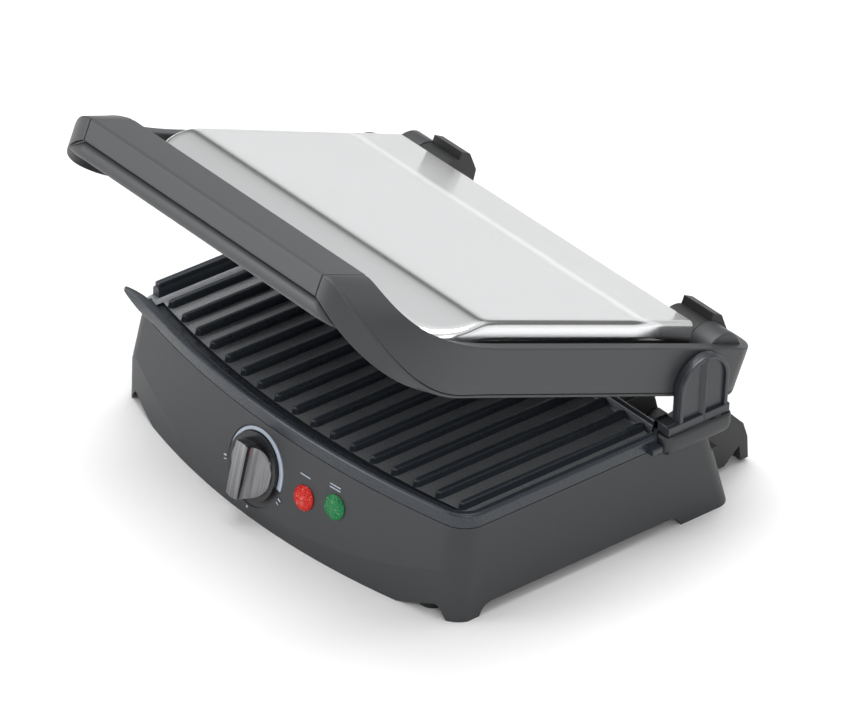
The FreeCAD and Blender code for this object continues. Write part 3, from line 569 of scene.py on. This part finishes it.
columns = {round(KNOB_RADIUS * math.sin(math.radians(turn)), 3) for turn in range(-88, 89, 4)}
columns |= {side * edge for edge in BAR_EDGES for side in (-1, 1)}
top_rows, low_rows = [], []
for column in sorted(columns):
    reach = math.sqrt(KNOB_RADIUS ** 2 - column ** 2)
    parts = [math.sin(math.pi / 2 * (2 * step / (ROW_POINTS - 1) - 1)) for step in range(ROW_POINTS)]
    top_rows.append([knob_point(column, reach * part, knob_height(column) - EDGE_DROP * abs(part) ** 8)
                     for part in parts])
    low_rows.append([knob_point(column, reach * side, KNOB_FOOT) for side in (-1, 1)])
for here, there in zip(top_rows, top_rows[1:]):
    for step in range(ROW_POINTS - 1):
        knob_shape.faces.new((here[step], there[step], there[step + 1], here[step + 1]))
for (here, there), (low_here, low_there) in zip(zip(top_rows, top_rows[1:]), zip(low_rows, low_rows[1:])):
    knob_shape.faces.new((low_here[0], low_there[0], there[0], here[0]))
    knob_shape.faces.new((here[-1], there[-1], low_there[1], low_here[1]))
    knob_shape.faces.new((low_here[1], low_there[1], low_there[0], low_here[0]))
for high, low in ((top_rows[0], low_rows[0]), (top_rows[-1][::-1], low_rows[-1][::-1])):
    knob_shape.faces.new([low[0]] + high + [low[1]])
bmesh.ops.recalc_face_normals(knob_shape, faces=knob_shape.faces)

knob_plating, tree, shader, place = finish("knob_plating", {"Metallic": 1.0})
# The plating's stretched dark and light streaks are painted reflections; the same pattern also sets roughness
# and bump.
reflection_streak_place = tree.add("ShaderNodeMapping", {}, {"Vector": place, "Scale": (1, 0.03, 0.03)})
painted_reflection_streak = tree.noise(reflection_streak_place, 900, 2)
feed(tree, shader, Base_Color=tree.between(painted_reflection_streak, (0.06, 0.06, 0.065), (0.36, 0.36, 0.37)),
     Roughness=painted_reflection_streak * 0.14 + 0.10)
roughen(tree, shader, painted_reflection_streak, 0.15, 0.0001)
knob = piece_from("knob_grip", knob_shape, knob_plating, sharp=50)
hand_in(knob, "knob", "chrome", "knob_body")

gloss_black, tree, shader, place = finish("knob_gloss", {"IOR": 1.5})
mist = tree.noise(place, 300, 3)
feed(tree, shader, Base_Color=tree.between(mist, (0.006, 0.006, 0.007), (0.016, 0.016, 0.018)),
     Roughness=mist * 0.1 + 0.18)
coat("knob_skirt", gloss_black)

dial_print, tree, shader, place = finish("dial_print", {"IOR": 1.45})
mist = tree.noise(place, 900, 3)
feed(tree, shader, Base_Color=tree.between(mist, (0.36, 0.42, 0.50), (0.46, 0.52, 0.60)),
     Roughness=mist * 0.1 + 0.4)


PRINT_THICK, PRINT_LIFT = 0.12, 0.05


def printed(shape, place, outline):
    """Adds a thin printed patch: an outline on the XY plane of a frame."""
    low, high = [[shape.verts.new(place @ Vector((x, y, z)) * MM) for x, y in outline]
                 for z in (0, PRINT_THICK)]
    shape.faces.new(high)
    shape.faces.new(list(reversed(low)))
    for step in range(len(low)):
        following = (step + 1) % len(low)
        shape.faces.new((low[step], low[following], high[following], high[step]))


ARC_START, ARC_SWEEP, ARC_STEPS, ARC_DEEP = 183, -194, 48, 0.9
ARC_OUTER, ARC_OUTER_GROWS, ARC_INNER, ARC_INNER_GROWS = 24.3, 1.5, 23.0, -0.8
arc = bmesh.new()
dial_frame = band_frame(KNOB_X, KNOB_Z, 0.1)


def arc_edge(radius, grows, height):
    """One long edge of the arc, whose radius grows along it."""
    edge = []
    for step in range(ARC_STEPS + 1):
        part = step / ARC_STEPS
        turn, reach = math.radians(ARC_START + ARC_SWEEP * part), radius + grows * part
        spot = dial_frame @ Vector((reach * math.cos(turn), reach * math.sin(turn), height))
        edge.append(arc.verts.new(spot * MM))
    return edge


arc_edges = [arc_edge(ARC_OUTER, ARC_OUTER_GROWS, 0), arc_edge(ARC_INNER, ARC_INNER_GROWS, 0),
             arc_edge(ARC_INNER, ARC_INNER_GROWS, -ARC_DEEP), arc_edge(ARC_OUTER, ARC_OUTER_GROWS, -ARC_DEEP)]
for one, other in zip(arc_edges, arc_edges[1:] + arc_edges[:1]):
    for step in range(ARC_STEPS):
        arc.faces.new((one[step], one[step + 1], other[step + 1], other[step]))
for step in (0, ARC_STEPS):
    arc.faces.new([edge[step] for edge in arc_edges])
bmesh.ops.recalc_face_normals(arc, faces=arc.faces)
dial_arc = piece_from("dial_arc", arc, dial_print, smooth=False)

# Ticks mark the ends of the dial, a dot its middle, and one bar or two name the lamps.
TICK_NEAR, TICK_FAR, DOT_OUT, DOT_RADIUS = 26.9, 29.4, 27.6, 0.85
BAR_START, BAR_END, BAR_THIN, BAR_STEP = -2.4, 6.4, 0.35, 2
marks = bmesh.new()
marks_frame = band_frame(KNOB_X, KNOB_Z, PRINT_LIFT)
for turn, half in ((192, 0.55), (197, 0.3), (-21, 0.55), (-27, 0.3)):
    printed(marks, marks_frame @ Matrix.Rotation(math.radians(turn), 4, "Z"),
            ((TICK_NEAR, -half), (TICK_FAR, -half), (TICK_FAR, half), (TICK_NEAR, half)))
printed(marks, marks_frame, [(DOT_RADIUS * math.cos(math.radians(30 * n)),
                              DOT_RADIUS * math.sin(math.radians(30 * n)) - DOT_OUT) for n in range(12)])
for x, z, bars in ((34.6, 48.5, 1), (59.2, 53.2, 2)):
    for bar in range(bars):
        low, high = -BAR_THIN - BAR_STEP * bar, BAR_THIN - BAR_STEP * bar
        printed(marks, band_frame(x, z, PRINT_LIFT),
                ((BAR_START, low), (BAR_END, low), (BAR_END, high), (BAR_START, high)))
bmesh.ops.recalc_face_normals(marks, faces=marks.faces)
print_marks = piece_from("dial_marks", marks, dial_print, smooth=False)
hand_in(dial_arc, "base", "dial_print", "dial_ring")
hand_in(print_marks, "base", "dial_print")


def lens_material(name, deep, bright):
    """A clear faceted lens with painted light: each facet is painted brighter at its middle, and a few glow
    with a painted glint.
    """
    material, tree, shader, place = finish(name, {"IOR": 1.35, "Coat Weight": 0.12, "Coat Roughness": 0.05})
    cell = tree.add("ShaderNodeTexVoronoi", {"feature": "F1"}, {"Vector": place, "Scale": 900.0}, 1)
    shade = tree.add("ShaderNodeSeparateColor", {}, {0: cell})
    edge = tree.add("ShaderNodeTexVoronoi", {"feature": "F1"}, {"Vector": place, "Scale": 900.0})
    # A few facets glow with a painted glint through the emission.
    painted_glint = tree.add("ShaderNodeValToRGB", {"stops": ((0.86, deep), (0.95, (1, 0.9, 0.7)))}, {0: shade})
    feed(tree, shader, Base_Color=tree.between(edge * 0.9, bright, deep), Roughness=shade * 0.25 + 0.08,
         Emission_Color=painted_glint)
    shader.inputs["Emission Strength"].default_value = 0.10
    roughen(tree, shader, edge, 0.8, 0.0006)
    return material


LENS_PROFILE = ((8.2, 0.12), (8.2, 0.7), (7.7, 1.3), (6.6, 2.1), (5.0, 2.9), (3.0, 3.4), (1.0, 3.6))
FACETS = 18
for lamp, x, z, colour, deep, bright in (
        ("power", 39, 34.9, "red_lens", (0.30, 0.003, 0.001), (0.72, 0.012, 0.003)),
        ("ready", 63.8, 40.3, "green_lens", (0.0, 0.08, 0.022), (0.0, 0.25, 0.07))):
    place_on_band = band_frame(x, z)
    dome_rings = []
    for level_number, (radius, out) in enumerate(LENS_PROFILE):
        turns = [math.tau * (n + 0.5 * (level_number % 2)) / FACETS for n in range(FACETS)]
        dome_rings.append([place_on_band @ Vector((radius * math.cos(turn), radius * math.sin(turn), out))
                           for turn in turns])
    dome = skin(dome_rings)
    bmesh.ops.triangulate(dome, faces=dome.faces)
    lens = piece_from(lamp + "_dome", dome, lens_material(colour, deep, bright), smooth=False)
    hand_in(lens, "base", colour, lamp + "_lens")


# ---- lid hinge: uprights -----------------------------------------------------------------------------
# Each upright is a domed moulding that slides up and down in the base's collar.  It carries the
# lid's pin, and its outer face has a raised border and a middle ridge.

PIVOT_Y, PIVOT_Z, TILT = 98.5, 105.0, math.radians(20.9)
POST_INNER, POST_FACE, BORDER_X, RIDGE_X, LEG_INNER = 156.3, 161.0, 163.2, 163.8, 149.5
POST_FOOT, POST_TOP = 72.8, 119.5


def dome_outline(half, top):
    """A dome-topped outline in the YZ plane, about the pivot, standing on the collar."""
    crown = arc_points((PIVOT_Y, top - half), half, 0, 180, 21)
    return ([(PIVOT_Y + half, POST_FOOT)] + [(point.x, point.y) for point in crown]
            + [(PIVOT_Y - half, POST_FOOT)])


border, inner_border = dome_outline(20, POST_TOP), dome_outline(16.6, POST_TOP - 3.1)
for side, label in ((1, "right"), (-1, "left")):
    post_shape = skin([[(x, y, z) for y, z in border] for x in (POST_INNER, POST_FACE + 0.2)])
    merge(post_shape, skin([[(POST_FACE, y, z),
                             (BORDER_X, PIVOT_Y + (y - PIVOT_Y) * 0.965, z - 0.5 * (z > 80)),
                             (BORDER_X, *inside), (POST_FACE, *inside)]
                            for (y, z), inside in zip(border, inner_border)]))
    merge(post_shape, skin([[(POST_FACE, PIVOT_Y - 3.4, z), (RIDGE_X, PIVOT_Y - 0.5, z - 0.2),
                             (RIDGE_X, PIVOT_Y + 0.5, z - 0.2), (POST_FACE, PIVOT_Y + 3.4, z)]
                            for z in (72.9, 95, 117.6)]))
    for low, high in (((LEG_INNER, 70.3, POST_FOOT), (POST_FACE + 0.2, 80, 79.4)),
                      ((LEG_INNER, 70.3, 24), (LEG_INNER + 4, 80, 79.4)),
                      ((POST_INNER, 69.9, POST_FOOT), (163.6, 119.5, 79.0))):
        merge(post_shape, box_shape(low, high))
    for vert in post_shape.verts:
        vert.co.x *= side
    bmesh.ops.recalc_face_normals(post_shape, faces=post_shape.faces)
    post = piece_from("upright_" + label, post_shape, upright_plastic)
    soften(post, 0.7, 2, 40)
    hand_in(post, "hinge_slide", "black_plastic", "hinge_upright_" + label)


# ---- lid hinge: collars ------------------------------------------------------------------------------
# A rounded collar on each side of the housing holds the upright's foot and legs in a deep pocket.  It
# is the same grey moulding as the housing, with its underside drawn in to the side wall.

COLLAR_INNER, COLLAR_OUTER, COLLAR_FRONT, COLLAR_REAR, COLLAR_CORNER = 156.2, 166, 67.3, 122, 6
POCKET_INNER, POCKET_OUTER, POCKET_FRONT, POCKET_REAR, POCKET_FLOOR = 150, 164, 69.4, 119.9, 61.2
corner_x = COLLAR_OUTER - COLLAR_CORNER
for side, label in ((1, "right"), (-1, "left")):
    collar_rings = []
    for inset, height in ((4, 58.4), (1.9, 60.5), (0.6, 62.5), (0, 65), (0, 71), (0.35, 72.1), (1.1, 72.7)):
        reach = COLLAR_CORNER - inset
        ring = [Vector((COLLAR_INNER, COLLAR_FRONT + inset))]
        ring += arc_points((corner_x, COLLAR_FRONT + COLLAR_CORNER), reach, 270, 360, 7)
        ring += arc_points((corner_x, COLLAR_REAR - COLLAR_CORNER), reach, 0, 90, 7)
        ring.append(Vector((COLLAR_INNER, COLLAR_REAR - inset)))
        collar_rings.append([(point.x * side, point.y, height) for point in ring])
    collar = piece_from("collar_" + label, skin(collar_rings), housing_plastic)
    walls = sorted((POCKET_INNER * side, POCKET_OUTER * side))
    carve(collar, box_shape((walls[0], POCKET_FRONT, POCKET_FLOOR), (walls[1], POCKET_REAR, 80)))
    smooth_but(collar.data, 35)
    hand_in(collar, "base", "housing_plastic", "hinge_collar_" + label)


# ---- lid frame: handle and arms ----------------------------------------------------------------------
# The handle's cover and the two arms make one band: the cover's flat top twists over and down into
# each arm's flat side.  The arm wraps round behind the upper housing's barrel.  The grip closes the
# underside of the handle.

SEAM_X, HANDLE_FRONT, HANDLE_REAR, HANDLE_TOP, HANDLE_BOTTOM = 108.4, -293.7, -257.7, 40.6, 26.4
ARM_OUTER, ARM_INNER, ARM_TOP, ARM_BOTTOM, ARM_REAR, ARM_BEND = 155.5, 147.5, 15.6, -16.6, 47.3, 15.0
ARM_STRAIGHT, ARM_RETURN, ARM_LIFT = -200.7, 131.6, 8
BOSS_Y, BOSS_Z, BOSS_RADIUS, BOSS_END, BOSS_EASE = 24.3, 6.9, 16, 149.4, 1.2


def lid(x, y, z):
    """A point given about the pivot with the lid level, placed with the lid at rest."""
    return Vector((x, PIVOT_Y + y * math.cos(TILT) + z * math.sin(TILT),
                   PIVOT_Z - y * math.sin(TILT) + z * math.cos(TILT)))


def frame_section(turn):
    """The band's four corners as it twists from the handle (0) to the straight arm (90 degrees)."""
    angle, part = math.radians(turn), turn / 90
    sine, cosine = math.sin(angle), max(math.cos(angle), 0)
    reach, thick = ARM_OUTER - SEAM_X, ARM_OUTER - ARM_INNER
    blend = 0.5 * (sine + part)
    settled = ARM_STRAIGHT + 20
    top_y = settled + (HANDLE_REAR - settled) * cosine ** (2 / 3)
    outer_x = SEAM_X + reach * sine
    outer_y = ARM_STRAIGHT + (HANDLE_FRONT - ARM_STRAIGHT) * cosine
    close = min(max((turn - 55) / 35, 0), 1)
    early = sine ** (2 / 3)
    return [Vector((SEAM_X + reach * early, top_y, HANDLE_TOP + (ARM_TOP - HANDLE_TOP) * blend)),
            Vector((outer_x, outer_y, HANDLE_TOP + (ARM_BOTTOM - HANDLE_TOP) * sine ** 2)),
            Vector((outer_x - thick * close, outer_y,
                    HANDLE_BOTTOM + (ARM_BOTTOM - HANDLE_BOTTOM) * sine ** 1.3)),
            Vector((SEAM_X + (reach - thick) * early, top_y,
                    HANDLE_BOTTOM + (ARM_TOP - HANDLE_BOTTOM) * blend))]


def grooved(corners, radius, near, toward, offset=1.9, width=0.45, deep=0.8):
    """A rounded outline with a fine V groove beside one corner, on the face toward another."""
    ring = rounded(corners, radius)
    way = (corners[toward] - corners[near]).normalized()
    middle = sum(corners, Vector()) / 4
    inward = (middle - corners[near]) - way * way.dot(middle - corners[near])
    inward = inward.normalized() * deep
    start = corners[near] + way * offset
    notch = [start, start + way * width + inward, start + way * width * 2]
    place = (near + 1) * 5 if toward == (near + 1) % 4 else near * 5
    if toward != (near + 1) % 4:
        notch.reverse()
    return ring[:place] + notch + ring[place:]


def shrunk(corners, amount):
    """The same outline drawn in towards its middle, for the small step beside a seam."""
    middle = sum(corners, Vector()) / len(corners)
    return [corner + (middle - corner).normalized() * amount for corner in corners]


EASE, SEAM_STEP, SEAM_GAP = 1.2, 0.5, 0.05
sections = [[corner + Vector((SEAM_GAP, 0, 0)) for corner in shrunk(frame_section(0), SEAM_STEP)]]
sections += [frame_section(turn) for turn in (1, 3, *range(6, 91, 3))]
for y in (-180, -120, -60, 0):
    sections.append([Vector((ARM_OUTER, y, ARM_TOP)), Vector((ARM_OUTER, y, ARM_BOTTOM)),
                     Vector((ARM_INNER, y, ARM_BOTTOM)), Vector((ARM_INNER, y, ARM_TOP))])
for turn in range(0, 91, 9):
    cosine, sine = math.cos(math.radians(turn)), math.sin(math.radians(turn))
    centre_x, centre_y = ARM_OUTER - ARM_BEND, ARM_REAR - ARM_BEND
    inner_bend = ARM_BEND - (ARM_OUTER - ARM_INNER)
    low = ARM_BOTTOM + ARM_LIFT * (1 - cosine)
    sections.append([Vector((centre_x + reach * cosine, centre_y + reach * sine, height)) for reach, height in
                     ((ARM_BEND, ARM_TOP), (ARM_BEND, low), (inner_bend, low), (inner_bend, ARM_TOP))])
sections.append([corner - Vector((corner.x - ARM_RETURN, 0, 0)) for corner in sections[-1]])
arm_rings = [[lid(*point) for point in grooved(grooved_corners, EASE, 1, 0)] for grooved_corners in sections]

for side, label in ((1, "right"), (-1, "left")):
    arm_shape = skin([[(point.x * side, point.y, point.z) for point in ring] for ring in arm_rings])
    boss = []
    for x, radius in ((ARM_RETURN, BOSS_RADIUS - BOSS_EASE), (ARM_RETURN + 0.8, BOSS_RADIUS),
                      (BOSS_END - 1.4, BOSS_RADIUS), (BOSS_END, BOSS_RADIUS - BOSS_EASE)):
        turns = [math.tau * n / 40 for n in range(40)]
        boss.append([lid(x * side, BOSS_Y + radius * math.cos(turn), BOSS_Z + radius * math.sin(turn))
                     for turn in turns])
    merge(arm_shape, skin(boss))
    arm = piece_from("arm_band_" + label, arm_shape, frame_plastic, sharp=60)
    arm.modifiers.new("flat", "WEIGHTED_NORMAL").keep_sharp = True
    hand_in(arm, "lid_frame", "frame_plastic", "arm_" + label)

cover_sections = []
for x, draw_in in ((SEAM_GAP - SEAM_X, SEAM_STEP), (SEAM_STEP - SEAM_X, 0),
                   (SEAM_X - SEAM_STEP, 0), (SEAM_X - SEAM_GAP, SEAM_STEP)):
    corners = [Vector((x, corner.y, corner.z)) for corner in frame_section(0)]
    cover_sections.append([lid(*point) for point in grooved(shrunk(corners, draw_in), EASE, 1, 0)])
handle_cover = piece_from("handle_band", skin(cover_sections), frame_plastic, sharp=60)
handle_cover.modifiers.new("flat", "WEIGHTED_NORMAL").keep_sharp = True
hand_in(handle_cover, "lid_frame", "frame_plastic", "handle_cover")

# The grip's ends run on under the arms' twist, and its top follows their underside down.
GRIP_ENDS = ((SEAM_X, HANDLE_BOTTOM - 0.05, 14, 0), (112, 24.3, 14, 0), (122, 17.2, 14.1, 3),
             (125.4, 14.9, 14.2, 7))
grip_stations = [(-x, *rest) for x, *rest in reversed(GRIP_ENDS)] + list(GRIP_ENDS)
grip_rings = []
for x, top, bottom, draw_in in grip_stations:
    rear, front = HANDLE_REAR - 2 - draw_in, HANDLE_FRONT + 1 + draw_in
    corners = [Vector((x, rear, top)), Vector((x, front, top)), Vector((x, front, bottom)),
               Vector((x, rear, bottom))]
    grip_rings.append([lid(*point) for point in rounded(corners, 5, 5)])
grip = piece_from("handle_underside", skin(grip_rings), frame_plastic, sharp=50)
hand_in(grip, "lid_frame", "frame_plastic", "handle_grip")


# ---- upper housing: steel cover ----------------------------------------------------------------------
# A pressed and satin-brushed steel cover: flat on top, rolled down at the sides, with a sloping
# front and a short turned-down lip.  It is clipped over the plastic upper housing.

COVER_HALF, COVER_TOP, COVER_FRONT, COVER_REAR, PLAN_CORNER = 140.7, 24.9, -217.2, 0.8, 30.0
CREASE_Y, CREASE_SOFT, SLOPE, LIP_LOW, SKIRT = -180.7, 4.0, math.radians(22), 2.4, 11.0
EDGE_ROLL = ((0, 11), (0.4, 8.9), (0.8, 6.5), (1.2, 4.2), (1.5, 2.9), (1.84, 2.0), (2.47, 1.17), (3.3, 0.54),
             (4.26, 0.14), (5.3, 0), (9, 0))
SIDE_STATIONS = (-185.5, -184, -182.5, -181, -179.5, -178, -176, -173, -168, -160, -140, -100, -50,
                 COVER_REAR)
SHEET = 0.8


def cover_height(y):
    """The height of the cover's top: flat, then a soft bend into the front slope."""
    past = CREASE_Y - y
    return COVER_TOP - 0.5 * (past + math.sqrt(past ** 2 + CREASE_SOFT ** 2)) * math.tan(SLOPE)


def cover_ring(inset, drop):
    """The cover's outline from one rear corner round the front to the other, drawn in and lowered."""
    corner = (COVER_HALF - PLAN_CORNER, COVER_FRONT + PLAN_CORNER)
    half_ring = arc_points(corner, PLAN_CORNER - inset, 270, 360, 19)
    half_ring += [Vector((COVER_HALF - inset, y)) for y in SIDE_STATIONS]
    placed = []
    for point in half_ring:
        high = cover_height(point.y)
        placed.append(Vector((point.x, point.y, high - drop / SKIRT * min(SKIRT, high - LIP_LOW))))
    return [Vector((-point.x, point.y, point.z)) for point in reversed(placed)] + placed


cover_rings = [[lid(*point) for point in cover_ring(inset, drop)] for inset, drop in EDGE_ROLL]
cover_shape = skin(cover_rings, closed_ends=False, looped=False)
cover_shape.verts.ensure_lookup_table()
# The flat and the slope are strips straight across, between the two sides of the innermost ring.
inner = list(cover_shape.verts)[-len(cover_rings[-1]):]
for step in range(len(inner) // 2 - 1):
    cover_shape.faces.new((inner[step], inner[step + 1], inner[-step - 2], inner[-step - 1]))
bmesh.ops.recalc_face_normals(cover_shape, faces=cover_shape.faces)
if sum(face.normal.z for face in cover_shape.faces) < 0:
    bmesh.ops.reverse_faces(cover_shape, faces=cover_shape.faces)

lid_steel, tree, shader, place = finish("lid_steel", {"Metallic": 1.0})
grain = tree.noise(place, 1400, 3, 0.65)
cloud = tree.noise(place, 5, 3)
brushed = tree.add("ShaderNodeMapping", {}, {"Vector": place, "Scale": (0.06, 1, 1)})
line = tree.noise(brushed, 1500, 2, 0.6)
tone = tree.between(grain * 0.6 + cloud * 0.4, (0.84, 0.85, 0.86), (0.98, 0.985, 0.99))
feed(tree, shader, Base_Color=tone, Roughness=grain * 0.10 + line * 0.06 + 0.14)
roughen(tree, shader, grain + line * 0.5, 0.25, 0.0001)
cover = piece_from("steel_lid", cover_shape, lid_steel)
sheet = cover.modifiers.new("sheet", "SOLIDIFY")
sheet.thickness = SHEET * MM
sheet.offset = -1
sheet.use_rim = True
hand_in(cover, "upper", "lid_steel", "steel_cover")


# ---- the floor ---------------------------------------------------------------------------------------
# A pale matt surface, wide enough to fill the picture.

REACH = 6  # metres
floor_mesh = bpy.data.meshes.new("floor")
floor_mesh.from_pydata([(-REACH, -REACH, 0), (REACH, -REACH, 0), (REACH, REACH, 0), (-REACH, REACH, 0)], [],
                       [(0, 1, 2, 3)])
floor_finish, tree, shader, place = finish("floor_finish", {"IOR": 1.3})
haze = tree.noise(place, 2, 2)
feed(tree, shader, Base_Color=tree.between(haze, (0.86, 0.86, 0.86), (0.89, 0.89, 0.89)),
     Roughness=haze * 0.05 + 0.85)
floor_mesh.materials.append(floor_finish)
link("floor", floor_mesh)
